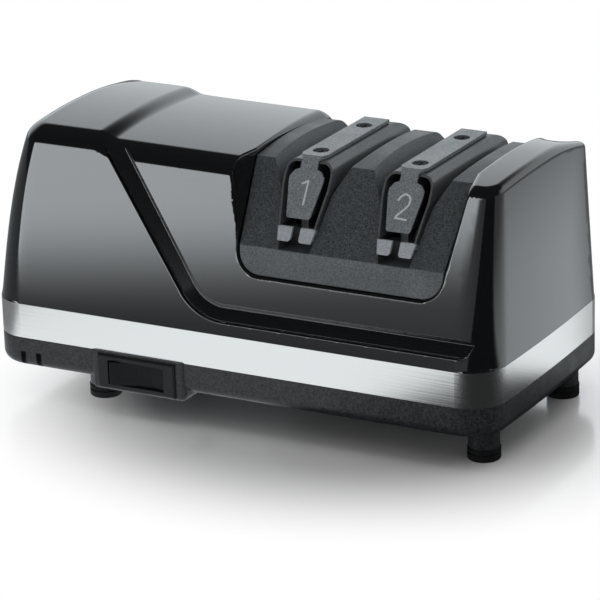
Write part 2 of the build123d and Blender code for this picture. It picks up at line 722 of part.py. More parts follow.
def stop_plate(centre, side):
    """Outline of one blade stop, with its lower inner corner rounded."""
    inner = centre + side * stop_offset
    outer = [centre + side * (flank_gap(z) - 0.35) for z in stop_z]
    face = front_polygon([(inner, stop_z[0]), (outer[0], stop_z[0]), (outer[1], stop_z[1]), (inner, stop_z[1])])
    with BuildSketch(Plane(origin=(0, 70, 0), x_dir=(1, 0, 0), z_dir=(0, -1, 0))) as rounded:
        add(face.moved(Location((0, 70, 0))))
        lower = rounded.vertices().group_by(Axis.Y)[0].sort_by(Axis.X)
        fillet(lower[-1] if side < 0 else lower[0], 1.2)
    return rounded.sketch


def stop_stem(centre, side):
    """Outline of the stem that carries a blade stop from the shelf behind it."""
    near, far = centre + side * 5.2, centre + side * 7.1
    low, high = stop_stem_z
    return front_polygon([(near, low), (far, low), (far, high), (near, high)], y=70.0)


with BuildPart() as blade_stops:
    for shape, slice_points in ((stop_plate, plate_slice), (stop_stem, stem_slice)):
        for side_view in (slice_points, [(mirrored_y(y), z) for y, z in slice_points]):
            with BuildPart(mode=Mode.PRIVATE) as stop_row:
                for centre in stage_x:
                    for side in (-1, 1):
                        extrude(shape(centre, side), 140.0)
                extrude(side_polygon(side_view), 100.0, mode=Mode.INTERSECT)
            add(stop_row.part)
save(blade_stops, "blade_stops")

# ================================================================== power switch
with BuildPart() as switch_body:
    slab((switch_x - 13.9, switch_x + 13.9), (block_y[0], -38.0), (switch_z - 6.2, switch_z + 6.2))
    slab(
        (switch_x - bezel_half[0], switch_x + bezel_half[0]), (switch_front_y, block_y[0]),
        (switch_z - bezel_half[1], switch_z + bezel_half[1]),
    )
    front_edges = switch_body.edges().filter_by_position(Axis.Y, switch_front_y - 0.1, switch_front_y + 0.1)
    chamfer(front_edges, 0.7)
    recess_x = (switch_x - 12.7, switch_x + 12.7)
    slab(recess_x, (-60.0, -45.0), (switch_z - 5.0, switch_z + 5.0), mode=Mode.SUBTRACT)
    with Locations((switch_x, rocker_pivot_y, switch_z)):
        Cylinder(1.25, 12.0, mode=Mode.SUBTRACT)
save(switch_body, "switch_body")

rocker_plan = [
    (-rocker_half[0], -4.6), (-6.0, -3.4), (0.0, -3.0), (6.0, -3.4), (rocker_half[0], -4.6),
    (rocker_half[0], -3.0), (4.2, 2.6), (-4.2, 2.6), (-rocker_half[0], -3.0),
]
with BuildPart() as rocker:
    with BuildSketch(Plane.XY.offset(switch_z - rocker_half[1])):
        with BuildLine():
            Polyline(*rocker_plan, close=True)
        make_face()
    extrude(amount=2 * rocker_half[1])
    fillet(rocker.edges().filter_by(Axis.Z).group_by(Axis.Y)[0], 0.5)
    with Locations((0, 0, switch_z)):
        Cylinder(1.2, 11.8)
rocker.part.position = (switch_x, rocker_pivot_y, 0)
rocker.part.orientation = (0, 0, rocker_rest_tilt)
save(rocker, "rocker")
rocker_front_y = rocker.part.bounding_box().min.Y

with BuildPart() as switch_terminals:
    for x in (-8.0, 0.0, 8.0):
        slab((switch_x + x - 2.4, switch_x + x + 2.4), (-38.0, -30.5), (switch_z + 0.6, switch_z + 1.4))
save(switch_terminals, "switch_terminals")

# ================================================================== cord gland
gland_end_y = -rocker_front_y
with BuildPart() as cord_gland:
    with BuildSketch(Plane.YZ) as gland_section:
        with BuildLine():
            Polyline(
                (half_depth - wall - 1.8, cord_radius), (half_depth - wall - 1.8, gland_flange_radius),
                (half_depth - wall, gland_flange_radius), (half_depth - wall, gland_barrel_radius),
                (half_depth, gland_barrel_radius), (half_depth, gland_flange_radius),
                (half_depth + 1.6, gland_flange_radius), (half_depth + 2.2, gland_barrel_radius + 0.6),
                (gland_end_y, gland_barrel_radius - 0.1), (gland_end_y, cord_radius), close=True,
            )
        make_face()
    revolve(axis=Axis.Y)
cord_gland.part.position = (gland_x, 0, gland_z)
save(cord_gland, "cord_gland")

# ================================================================== clean-out cover
with BuildPart() as clean_out_cover:
    slab(cover_x, (cover_front_y, cover_hinge_y), (base_bottom_z + 0.4, floor_top_z - 0.1))
    with Locations(Location((sum(cover_x) / 2, cover_hinge_y, cover_hinge_z), (0, 90, 0))):
        Cylinder(2.9, cover_x[1] - cover_x[0])
        Cylinder(1.2, cover_x[1] - cover_x[0] + 5.8)
    with Locations((sum(cover_x) / 2, cover_front_y, base_bottom_z)):
        Cylinder(8.0, 2.4, mode=Mode.SUBTRACT)
save(clean_out_cover, "clean_out_cover")

with BuildPart() as swarf_magnet:
    slab((37.0, 57.0), (-6.0, 6.0), (floor_top_z - 0.1, floor_top_z + 2.9))
save(swarf_magnet, "swarf_magnet")

# ================================================================== motor
stack_x = (motor_x - stack_length / 2, motor_x + stack_length / 2)
leg_y = (31.0, 41.0)
with BuildPart() as stator_stack:
    slab(stack_x, (-25.5, leg_y[1]), (34.0, 86.0))
    slab(stack_x, (19.5, leg_y[0]), (46.0, 74.0), mode=Mode.SUBTRACT)
    with Locations(Location((motor_x, shaft_y, shaft_z), (0, 90, 0))):
        Cylinder(rotor_radius + rotor_air_gap, 40.0, mode=Mode.SUBTRACT)
    for z in (-20.0, 20.0):
        with Locations(Location((motor_x, shaft_y, shaft_z + z), (0, 90, 0))):
            Cylinder(2.1, 40.0, mode=Mode.SUBTRACT)
save(stator_stack, "stator_stack")

bobbin_x = (stack_x[0] - 1.1, stack_x[1] + 1.1)
bobbin_y = (leg_y[0] - 1.1, leg_y[1] + 1.1)
with BuildPart() as coil_bobbin:
    slab(bobbin_x, bobbin_y, (47.5, 72.5))
    for z in (48.2, 71.8):
        flange_x = (bobbin_x[0] - 3.6, bobbin_x[1] + 3.6)
        slab(flange_x, (bobbin_y[0] - 3.6, bobbin_y[1] + 3.6), (z - 0.7, z + 0.7))
    core_y = (leg_y[0] - 0.1, leg_y[1] + 0.1)
    slab((stack_x[0] - 0.1, stack_x[1] + 0.1), core_y, (40.0, 80.0), mode=Mode.SUBTRACT)
save(coil_bobbin, "coil_bobbin")

with BuildPart() as coil_winding:
    slab((bobbin_x[0] - 3.2, bobbin_x[1] + 3.2), (bobbin_y[0] - 3.2, bobbin_y[1] + 3.2), (48.9, 71.1))
    fillet(coil_winding.edges().filter_by(Axis.Z), 2.5)
    slab(bobbin_x, bobbin_y, (40.0, 80.0), mode=Mode.SUBTRACT)
save(coil_winding, "coil_winding")

bracket_columns = {"left": (-81.0, stack_x[0]), "right": (stack_x[1], -35.0)}
for side, (column_start, column_end) in bracket_columns.items():
    plate_x = column_start if side == "left" else column_end
    with BuildPart() as bearing_bracket:
        slab((plate_x - 1.0, plate_x + 1.0), (shaft_y - 7.0, shaft_y + 7.0), (36.0, 84.0))
        with Locations(Location((plate_x, shaft_y, shaft_z), (0, 90, 0))):
            Cylinder(9.0, 6.0)
            Cylinder(6.05, 20.0, mode=Mode.SUBTRACT)
        for z in (-20.0, 20.0):
            with Locations(Location(((column_start + column_end) / 2, shaft_y, shaft_z + z), (0, 90, 0))):
                Cylinder(4.0, column_end - column_start)
            with Locations(Location((plate_x, shaft_y, shaft_z + z), (0, 90, 0))):
                Cylinder(2.1, 40.0, mode=Mode.SUBTRACT)
    save(bearing_bracket, f"bearing_bracket_{side}")

with BuildPart() as sleeve_bearings:
    for x in (-81.0, -35.0):
        with Locations(Location((x, shaft_y, shaft_z), (0, 90, 0))):
            Cylinder(6.0, 7.0)
            Cylinder(shaft_radius + running_gap, 20.0, mode=Mode.SUBTRACT)
save(sleeve_bearings, "sleeve_bearings")

with BuildPart() as end_bearing:
    with Locations(Location((sum(bearing_pedestal_x) / 2, shaft_y, shaft_z), (0, 90, 0))):
        Cylinder(6.0, 7.5)
        Cylinder(shaft_radius + running_gap, 20.0, mode=Mode.SUBTRACT)
save(end_bearing, "end_bearing")

with BuildPart() as motor_bolts:
    for z in (-20.0, 20.0):
        with Locations(Location((motor_x, shaft_y, shaft_z + z), (0, 90, 0))):
            Cylinder(2.0, 52.0)
        for x, radius in ((-83.5, 4.0), (-32.5, 3.6)):
            with Locations(Location((x, shaft_y, shaft_z + z), (0, 90, 0))):
                Cylinder(radius, 3.0)
save(motor_bolts, "motor_bolts")

with BuildPart() as rotor_core:
    with Locations(Location((motor_x, shaft_y, shaft_z), (0, 90, 0))):
        Cylinder(rotor_radius, stack_length)
        Cylinder(12.0, stack_length + 5.0)
        Cylinder(shaft_radius + running_gap, 60.0, mode=Mode.SUBTRACT)
save(rotor_core, "rotor_core")

with BuildPart() as cooling_fan:
    fan_middle = sum(fan_x) / 2
    fan_width = fan_x[1] - fan_x[0]
    with Locations(Location((fan_middle, shaft_y, shaft_z), (0, 90, 0))):
        Cylinder(6.0, fan_width)
    for turn in range(8):
        angle = turn * 45.0
        arm = (fan_radius + 4.0) / 2
        place = (fan_middle, shaft_y - arm * sin(radians(angle)), shaft_z + arm * cos(radians(angle)))
        with Locations(Location(place, (angle, 0, 28))):
            Box(fan_width - 1.0, 1.0, fan_radius - 4.0)
    with Locations(Location((fan_middle, shaft_y, shaft_z), (0, 90, 0))):
        Cylinder(shaft_radius + running_gap, 20.0, mode=Mode.SUBTRACT)
save(cooling_fan, "cooling_fan")

# ================================================================== drive shaft, discs and their springs
disc_places = [(centre, side) for centre in stage_x for side in (-1, 1)]

with BuildPart() as drive_shaft:
    with Locations(Location((sum(shaft_end_x) / 2, shaft_y, shaft_z), (0, 90, 0))):
        Cylinder(shaft_radius, shaft_end_x[1] - shaft_end_x[0])
    for centre, side in disc_places:
        with Locations((centre + side * pin_offset, shaft_y, shaft_z)):
            Cylinder(pin_radius + 0.02, 10.0, mode=Mode.SUBTRACT)
save(drive_shaft, "drive_shaft")

with BuildPart() as drive_pins:
    for centre, side in disc_places:
        with Locations((centre + side * pin_offset, shaft_y, shaft_z)):
            Cylinder(pin_radius, 15.0)
save(drive_pins, "drive_pins")

ring_thickness = 0.6
for number, (centre, side) in enumerate(disc_places, start=1):
    disc_section = [
        (disc_inner_offset, 0.0), (disc_inner_offset, disc_radius),
        (disc_rim_offset - ring_thickness, disc_radius), (disc_face_offset - ring_thickness, 12.0),
        (disc_face_offset, 12.0), (disc_face_offset, hub_radius), (hub_offset, hub_radius), (hub_offset, 0.0),
    ]
    ring_section = [
        (disc_rim_offset - ring_thickness, disc_radius), (disc_rim_offset, disc_radius),
        (disc_face_offset, 12.0), (disc_face_offset - ring_thickness, 12.0),
    ]
    with BuildPart() as grinding_disc:
        with BuildSketch(Plane.XY):
            with BuildLine():
                Polyline(*[(side * offset, radius) for offset, radius in disc_section], close=True)
            make_face()
        revolve(axis=Axis.X)
        with Locations(Location((0, 0, 0), (0, 90, 0))):
            Cylinder(shaft_radius + running_gap, 30.0, mode=Mode.SUBTRACT)
        with Locations((side * (4.7 + 4.0), 0, 0)):
            Box(8.0, 2.6, 15.6, mode=Mode.SUBTRACT)
    grinding_disc.part.position = (centre, shaft_y, shaft_z)
    save(grinding_disc, f"grinding_disc_{number}")
    with BuildPart() as abrasive_ring:
        with BuildSketch(Plane.XY):
            with BuildLine():
                Polyline(*[(side * offset, radius) for offset, radius in ring_section], close=True)
            make_face()
        revolve(axis=Axis.X)
    abrasive_ring.part.position = (centre, shaft_y, shaft_z)
    save(abrasive_ring, f"abrasive_ring_{number}")

# ================================================================== screws that close the case from below
with BuildPart() as base_screws:
    for x, y in case_screw_places + insert_screw_places:
        with Locations((x, y, 18.8)):
            Cylinder(3.0, 2.4)
        with Locations((x, y, 32.9)):
            Cylinder(screw_radius, 26.0)
        with Locations((x, y, 17.8)):
            Box(0.8, 4.0, 1.0, mode=Mode.SUBTRACT)
            Box(4.0, 0.8, 1.0, mode=Mode.SUBTRACT)
save(base_screws, "base_screws")
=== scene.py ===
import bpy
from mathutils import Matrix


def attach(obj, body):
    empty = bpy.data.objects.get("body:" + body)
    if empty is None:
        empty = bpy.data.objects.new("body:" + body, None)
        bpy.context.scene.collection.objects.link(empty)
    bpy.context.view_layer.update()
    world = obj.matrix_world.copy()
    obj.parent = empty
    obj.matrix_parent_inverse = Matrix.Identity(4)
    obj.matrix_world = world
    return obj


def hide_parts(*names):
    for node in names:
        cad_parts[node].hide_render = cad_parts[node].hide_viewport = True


bl_info = {
    "name": "Electric knife sharpener",
    "version": (1, 0, 0),
    "blender": (4, 5, 0),
    "location": "3D View > Sidebar > Sharpener",
    "description": "Dresses the two-stage electric knife sharpener with its finishes, numbers and stage",
    "category": "Object",
}

import math

import bmesh
import bpy
import numpy as np
from mathutils import Matrix, Vector

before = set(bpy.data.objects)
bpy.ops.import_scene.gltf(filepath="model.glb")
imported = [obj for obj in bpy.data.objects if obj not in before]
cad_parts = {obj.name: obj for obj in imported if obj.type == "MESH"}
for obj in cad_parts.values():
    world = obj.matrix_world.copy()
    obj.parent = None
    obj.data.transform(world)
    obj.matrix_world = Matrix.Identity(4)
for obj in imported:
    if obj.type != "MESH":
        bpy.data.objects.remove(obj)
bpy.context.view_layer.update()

MM = 0.001
PER_METRE = 1000.0
CASE = "case"
WHITE = (1.0, 1.0, 1.0, 1.0)
COOL_WHITE = (0.93, 0.985, 1.02, 1.0)

# The stage numbers: their height in metres, the other lengths in millimetres.
NUMERAL_HEIGHT = 0.0095
NUMERAL_MIDDLE = 10.3
PLATE_FOOT = 88.6
PLATE_FORWARD = 3.05
STROKE_HALF = 0.38
STROKE_TURNS = 20
STROKE_PROUD = 0.1
STROKE_STAGGER = 0.004
STROKE_SUNK = 0.05

# The camera: azimuth, elevation and roll in degrees, distance and shift in millimetres.
VIEW_ANGLES = (28.6, 19.34, -1.62)
VIEW_DISTANCE = 1382.785
VIEW_SHIFT = (1.79, -8.62)
VIEW_TARGET = (0.0, 0.0, 0.04688)


# ------------------------------------------------------------------ settings
class HousingSettings(bpy.types.PropertyGroup):
    """Colour and gloss of the upper housing"""

    colour: bpy.props.FloatVectorProperty(
        name="Housing colour",
        description="Colour of the glossy moulding",
        subtype="COLOR",
        size=3,
        default=(0.004, 0.0045, 0.005),
    )
    roughness: bpy.props.FloatProperty(
        name="Gloss roughness",
        description="Roughness of the polished surface",
        subtype="FACTOR",
        default=0.08,
    )


class GuideSettings(bpy.types.PropertyGroup):
    """Colours of the guide insert and bars, and the size of the numbers"""

    insert_colour: bpy.props.FloatVectorProperty(
        name="Insert colour",
        description="Colour of the textured insert",
        subtype="COLOR",
        size=3,
        default=(0.042, 0.048, 0.053),
    )
    bar_colour: bpy.props.FloatVectorProperty(
        name="Bar colour",
        description="Colour of the bars and number plates",
        subtype="COLOR",
        size=3,
        default=(0.135, 0.148, 0.158),
    )
    numeral_height: bpy.props.FloatProperty(
        name="Numeral height",
        description="Height of the stage numbers",
        subtype="DISTANCE",
        unit="LENGTH",
        default=NUMERAL_HEIGHT,
    )


class StageSettings(bpy.types.PropertyGroup):
    """Floor and lens of the stage"""

    floor_colour: bpy.props.FloatVectorProperty(
        name="Floor colour",
        description="Colour of the floor",
        subtype="COLOR",
        size=3,
        default=(0.92, 0.92, 0.92),
    )
    floor_polish: bpy.props.FloatProperty(
        name="Floor polish",
        description="How strongly the floor mirrors the object",
        subtype="FACTOR",
        default=0.5,
    )
    lens: bpy.props.FloatProperty(
        name="Lens",
        description="Focal length of the camera in millimetres",
        default=206.885,
    )


# ------------------------------------------------------------------ mesh and node helpers
def mesh_object(name, points, faces):
    """A new mesh object in the scene; its points are already in place."""
    mesh = bpy.data.meshes.new(name)
    mesh.from_pydata([tuple(p) for p in points], [], faces)
    mesh.update()
    item = bpy.data.objects.new(name, mesh)
    bpy.context.scene.collection.objects.link(item)
    return item


def grid_mesh(half):
    """The corners and face of a flat square."""
    corners = [(-half, -half, 0.0), (half, -half, 0.0), (half, half, 0.0), (-half, half, 0.0)]
    return corners, [(0, 1, 2, 3)]


def feed(tree, sockets, values):
    """Gives each input its value: a number, or another node's output."""
    for socket, value in zip(sockets, values):
        if isinstance(value, (int, float)):
            socket.default_value = value
        else:
            tree.links.new(value, socket)


def maths(tree, operation, first, second):
    """One Math node; its inputs are sockets or numbers."""
    node = tree.nodes.new("ShaderNodeMath")
    node.operation = operation
    feed(tree, node.inputs, (first, second))
    return node.outputs["Value"]


def vector_maths(tree, operation, first, *fixed):
    """One Vector Math node: its first input is a socket, the others are fixed vectors."""
    node = tree.nodes.new("ShaderNodeVectorMath")
    node.operation = operation
    tree.links.new(first, node.inputs[0])
    for index, vector in enumerate(fixed, start=1):
        node.inputs[index].default_value = vector
    return node


def mix_shaders(tree, share, first, second):
    """A mix of two shaders; the share of the second is a socket or a number."""
    node = tree.nodes.new("ShaderNodeMixShader")
    feed(tree, (node.inputs["Fac"], node.inputs[1], node.inputs[2]), (share, first, second))
    return node.outputs["Shader"]


def place_sockets(tree, kind):
    """A texture place, whole and split into X, Y and Z."""
    place = tree.nodes.new("ShaderNodeTexCoord").outputs[kind]
    split = tree.nodes.new("ShaderNodeSeparateXYZ")
    tree.links.new(place, split.inputs["Vector"])
    return place, split.outputs["X"], split.outputs["Y"], split.outputs["Z"]


def ramp_value(tree, value, start, end, low=0.0, high=1.0, smooth=True):
    """Turns a value between start and end into one between low and high."""
    node = tree.nodes.new("ShaderNodeMapRange")
    node.interpolation_type = "SMOOTHSTEP" if smooth else "LINEAR"
    tree.links.new(value, node.inputs["Value"])
    for name, number in zip(("From Min", "From Max", "To Min", "To Max"), (start, end, low, high)):
        node.inputs[name].default_value = number
    return node.outputs["Result"]


# ------------------------------------------------------------------ material helpers
def new_material(name, colour, roughness, metallic=0.0):
    """A material with one Principled BSDF, and its node tree, shader and links."""
    material = bpy.data.materials.new(name)
    material.use_nodes = True
    tree = material.node_tree
    shader = tree.nodes["Principled BSDF"]
    shader.inputs["Base Color"].default_value = (*colour, 1.0)
    shader.inputs["Roughness"].default_value = roughness
    shader.inputs["Metallic"].default_value = metallic
    return material, tree, shader


def grain_group():
    """Shader node group: fine moulded grain, as a tint mask and a bump normal."""
    found = bpy.data.node_groups.get("moulded_grain")
    if found:
        return found
    group = bpy.data.node_groups.new("moulded_grain", "ShaderNodeTree")
    add_socket = group.interface.new_socket
    scale = add_socket("Scale", in_out="INPUT", socket_type="NodeSocketFloat")
    scale.default_value = 2200.0
    depth = add_socket("Depth", in_out="INPUT", socket_type="NodeSocketFloat")
    depth.default_value = 0.00004
    add_socket("Normal", in_out="INPUT", socket_type="NodeSocketVector")
    add_socket("Normal", in_out="OUTPUT", socket_type="NodeSocketVector")
    add_socket("Mask", in_out="OUTPUT", socket_type="NodeSocketFloat")
    add_socket("Patches", in_out="OUTPUT", socket_type="NodeSocketFloat")
    nodes, links = group.nodes, group.links
    start = nodes.new("NodeGroupInput")
    end = nodes.new("NodeGroupOutput")
    place = nodes.new("ShaderNodeTexCoord")
    noise = nodes.new("ShaderNodeTexNoise")
    noise.inputs["Detail"].default_value = 3.0
    bump = nodes.new("ShaderNodeBump")
    bump.inputs["Strength"].default_value = 1.0
    patches = nodes.new("ShaderNodeTexNoise")
    patches.inputs["Scale"].default_value = 90.0
    patches.inputs["Detail"].default_value = 2.0
    links.new(place.outputs["Object"], noise.inputs["Vector"])
    links.new(place.outputs["Object"], patches.inputs["Vector"])
    links.new(start.outputs["Scale"], noise.inputs["Scale"])
    links.new(noise.outputs["Fac"], bump.inputs["Height"])
    links.new(start.outputs["Depth"], bump.inputs["Distance"])
    links.new(start.outputs["Normal"], bump.inputs["Normal"])
    links.new(bump.outputs["Normal"], end.inputs["Normal"])
    links.new(ramp_value(group, noise.outputs["Fac"], 0.36, 0.64, smooth=False), end.inputs["Mask"])
    links.new(patches.outputs["Fac"], end.inputs["Patches"])
    return group


def grained_material(name, colour, roughness, grain_scale, grain_depth, speckle=0.15, shine=0.5, edge=0.0):
    """Moulded plastic with a fine texture and faint speckle, its edges rounded by a radius."""
    material, tree, shader = new_material(name, colour, roughness)
    shader.inputs["Specular IOR Level"].default_value = shine
    grain = tree.nodes.new("ShaderNodeGroup")
    grain.node_tree = grain_group()
    grain.inputs["Scale"].default_value = grain_scale
    grain.inputs["Depth"].default_value = grain_depth
    tint = tree.nodes.new("ShaderNodeMix")
    tint.data_type = "RGBA"
    low = [c * (1.0 - speckle) for c in colour]
    high = [min(1.0, c * (1.0 + speckle)) for c in colour]
    tint.inputs["A"].default_value = (*low, 1.0)
    tint.inputs["B"].default_value = (*high, 1.0)
    tree.links.new(grain.outputs["Mask"], tint.inputs["Factor"])
    tree.links.new(tint.outputs["Result"], shader.inputs["Base Color"])
    smoothest, roughest = roughness * 0.88, min(1.0, roughness * 1.12)
    worn = ramp_value(tree, grain.outputs["Patches"], 0.3, 0.7, smoothest, roughest)
    tree.links.new(worn, shader.inputs["Roughness"])
    rounded = tree.nodes.new("ShaderNodeBevel" if edge else "ShaderNodeNewGeometry")
    if edge:
        rounded.samples = 4
        rounded.inputs["Radius"].default_value = edge
    tree.links.new(rounded.outputs["Normal"], grain.inputs["Normal"])
    tree.links.new(grain.outputs["Normal"], shader.inputs["Normal"])
    return material


def brushed_material(name, colour, roughness, stretch, metallic=1.0):
    """Brushed metal: streaks in roughness and bump, longest along the axis that is stretched least."""
    material, tree, shader = new_material(name, colour, roughness, metallic)
    nodes, links = tree.nodes, tree.links
    place = nodes.new("ShaderNodeTexCoord")
    squeeze = nodes.new("ShaderNodeMapping")
    squeeze.inputs["Scale"].default_value = stretch
    streaks = nodes.new("ShaderNodeTexNoise")
    streaks.inputs["Scale"].default_value = 1.0
    streaks.inputs["Detail"].default_value = 4.0
    span = nodes.new("ShaderNodeMapRange")
    span.inputs["To Min"].default_value = roughness * 0.75
    span.inputs["To Max"].default_value = roughness * 1.35
    bump = nodes.new("ShaderNodeBump")
    bump.inputs["Distance"].default_value = 0.00002
    links.new(place.outputs["Object"], squeeze.inputs["Vector"])
    links.new(squeeze.outputs["Vector"], streaks.inputs["Vector"])
    links.new(streaks.outputs["Fac"], span.inputs["Value"])
    links.new(span.outputs["Result"], shader.inputs["Roughness"])
    links.new(streaks.outputs["Fac"], bump.inputs["Height"])
    links.new(bump.outputs["Normal"], shader.inputs["Normal"])
    return material


def gloss_material(name, colour, roughness):
    """Polished moulding under a clear coat."""
    material, _, shader = new_material(name, colour, roughness)
    shader.inputs["Coat Weight"].default_value = 1.0
    shader.inputs["Coat Roughness"].default_value = roughness
    return material


def paint_material(name, colour, roughness):
    """Printed ink with a faint grain, made once."""
    found = bpy.data.materials.get(name)
    return found or grained_material(name, colour, roughness, 2600.0, 0.00002, 0.12)


def on_circle(centre, radius, angle):
    """The point of a circle at an angle."""
    return centre[0] + radius * math.cos(angle), centre[1] + radius * math.sin(angle)


def stroke_mesh(line, half):
    """A pen stroke along a line: points (x, up, proud) and faces, with round ends and joins."""
    points, faces = [], []
    for start, end in zip(line, line[1:]):
        first = math.atan2(end[1] - start[1], end[0] - start[0]) - math.pi / 2
        rim = []
        for step in range(STROKE_TURNS):
            angle = first + 2 * math.pi * step / STROKE_TURNS
            rim.append(on_circle(end if step <= STROKE_TURNS // 2 else start, half, angle))
            if step == STROKE_TURNS // 2:
                rim.append(on_circle(start, half, angle))
        rim.append(on_circle(start, half, first))
        base, count = len(points), len(rim)
        proud = STROKE_PROUD + STROKE_STAGGER * (base % 7)
        points += [(x, up, -STROKE_SUNK) for x, up in rim] + [(x, up, proud) for x, up in rim]
        faces.append(tuple(base + count + i for i in range(count)))
        faces.append(tuple(base + i for i in reversed(range(count))))
        faces += [(base + i, base + (i + 1) % count, base + count + (i + 1) % count, base + count + i)
                  for i in range(count)]
    return points, faces


# Each stage's place across, and the pen line of its number up the slope of the plate, in millimetres.
NUMERALS = {
    1: (25.7, ((-1.21, 13.8), (1.09, 15.08), (0.94, 5.72))),
    2: (68.4, (
        (-2.33, 12.43), (-1.53, 13.98), (0.02, 15.07), (1.83, 14.44), (2.55, 13.24), (2.26, 10.93),
        (1.03, 9.33), (-0.5, 7.77), (-1.69, 6.52), (-2.27, 5.39), (2.42, 5.17),
    )),
}


def wear(node, material):
    """Gives one CAD node a finish."""
    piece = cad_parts[node]
    piece.data.materials.clear()
    piece.data.materials.append(material)


# ------------------------------------------------------------------ the polished shell's skin
# Lengths are in millimetres here.
HALF_LENGTH = 112.5
HALF_DEPTH = 55.0
HOUSING_FOOT = 40.2
HOUSING_RISE = 73.4
DECK_END_X = 45.0
TOWER_X = 60.0
HIGHEST = 113.5
LEAN = math.tan(math.radians(9.6))
ACROSS_LEAN = 0.986
RIB_ANGLE = math.radians(30.0)
RIB_SLOPE = math.tan(RIB_ANGLE)
SILL_Y, SILL_Z = -47.92, 76.4
OPENING_FOOT = 65.0
OPENING_HEIGHT = 49.6
OPENING_CORNER = 9.5
CHANNEL_TOP = 112.0
CHANNEL_LOW_EDGE = (-16.0, 44.9, -64.4, 24.0)
CHANNEL_HIGH_EDGE = (-11.5, 52.6, -52.6, 15.0)
RIDGE_WIDTH = 2.0
CHANNEL_DEPTH = 2.1
LIP_RADIUS = 0.8
RIM_RADIUS = 6.0
TOWER_RIM_RADIUS = 3.2
INNER_GAP = 1.2
REACH_ABOVE = 12.0
REAR_Y = 12.0
FLARE_Y = -38.0
SLOPE_STEP = 0.02
STEPS_TO_SKIN = 18
LONGEST_STEP = 0.8
NO_GOAL = 1e9
FAR_INSIDE = -99.0


def smooth_step(value, start, end):
    """0 before start, 1 after end, and a smooth rise between."""
    share = np.clip((value - start) / (end - start), 0.0, 1.0)
    return share * share * (3.0 - 2.0 * share)


def round_join(first, second, radius):
    """The outside of two surfaces, their edge rounded to a radius."""
    low, high = first + radius, second + radius
    rounded = np.hypot(low, high) - radius
    return np.where((low > 0) & (high > 0), rounded, np.maximum(first, second))


def front_face(z):
    """Depth of the leaning front face at height z."""
    return (z - HOUSING_FOOT) * LEAN - HALF_DEPTH


def rib_face(z):
    """Depth of the leaning faces of the ribs at height z."""
    return (z - SILL_Z) * RIB_SLOPE + SILL_Y


def crown_drop(y):
    """How far the arched top lies below its highest line."""
    return (y + 3.0) ** 2 / 660.0


def crest_height(x):
    """Highest line of the arched top: left end, sunken deck and right tower."""
    deck = 111.2 - 0.5 * np.clip((x + 57.5) / 58.5, 0.0, 1.0)
    left = 113.45 + (deck - 113.45) * smooth_step(x, -65.5, -57.0)
    return np.where(x < DECK_END_X, left, 112.2)


def strip_distance(x, z, bend_x, bend_z, top_x, radius):
    """Distance above and right of one edge of the channel: down a slant, round a bend, then level."""
    slant = np.array([top_x - bend_x, CHANNEL_TOP - bend_z])
    slant /= np.hypot(*slant)
    from_slant = (x - bend_x) * slant[1] - (z - bend_z) * slant[0]
    from_level = z - bend_z
    low, high = radius - from_slant, radius - from_level
    cosine = slant[0]
    squared = np.maximum(low * low + high * high + 2.0 * cosine * low * high, 0.0)
    reach = np.sqrt(squared) / math.sqrt(1 - cosine**2)
    inside = (low + cosine * high > 0) & (high + cosine * low > 0)
    return np.where(inside, radius - reach, np.minimum(from_slant, from_level))


def channel_edges(x, z):
    """Distances above the channel's lower edge and below its higher edge."""
    return strip_distance(x, z, *CHANNEL_LOW_EDGE), -strip_distance(x, z, *CHANNEL_HIGH_EDGE)


def channel_cut(x, z):
    """Depth of the soft channel that crosses the front; its floor is deeper at the higher edge."""
    above_low, below_high = channel_edges(x, z)
    across = np.clip(above_low / np.maximum(above_low + below_high, 1.0), 0.0, 1.0)
    floor = CHANNEL_DEPTH * (0.25 + 0.75 * across)
    fade = 1.0 - smooth_step(x, 105.0, 109.0)
    return floor * fade * smooth_step(above_low, -0.2, 1.4) * smooth_step(below_high, -0.2, RIDGE_WIDTH)


def opening_depth(x, y, z):
    """How far a point lies inside the opening for the guides, which flares towards the user."""
    share = (z - OPENING_FOOT) / OPENING_HEIGHT
    rib = rib_face(z)
    reach = np.maximum(rib - front_face(z), 2.0)
    towards_user = np.clip((rib - y) / reach, 0.0, 1.3)
    left = 2.0 - 1.6 * share - np.clip(0.172 * (z - 82.0), 0.0, 3.8) * towards_user
    right = 89.0 + 5.5 * share + np.clip(0.125 * (z - 73.0), 0.0, 4.1) * towards_user
    across = np.minimum(x - left, right - x)
    above = z - OPENING_FOOT
    radius = OPENING_CORNER
    corner = radius - np.hypot(radius - across, radius - above)
    return np.where((across < radius) & (above < radius), corner, np.minimum(across, above))


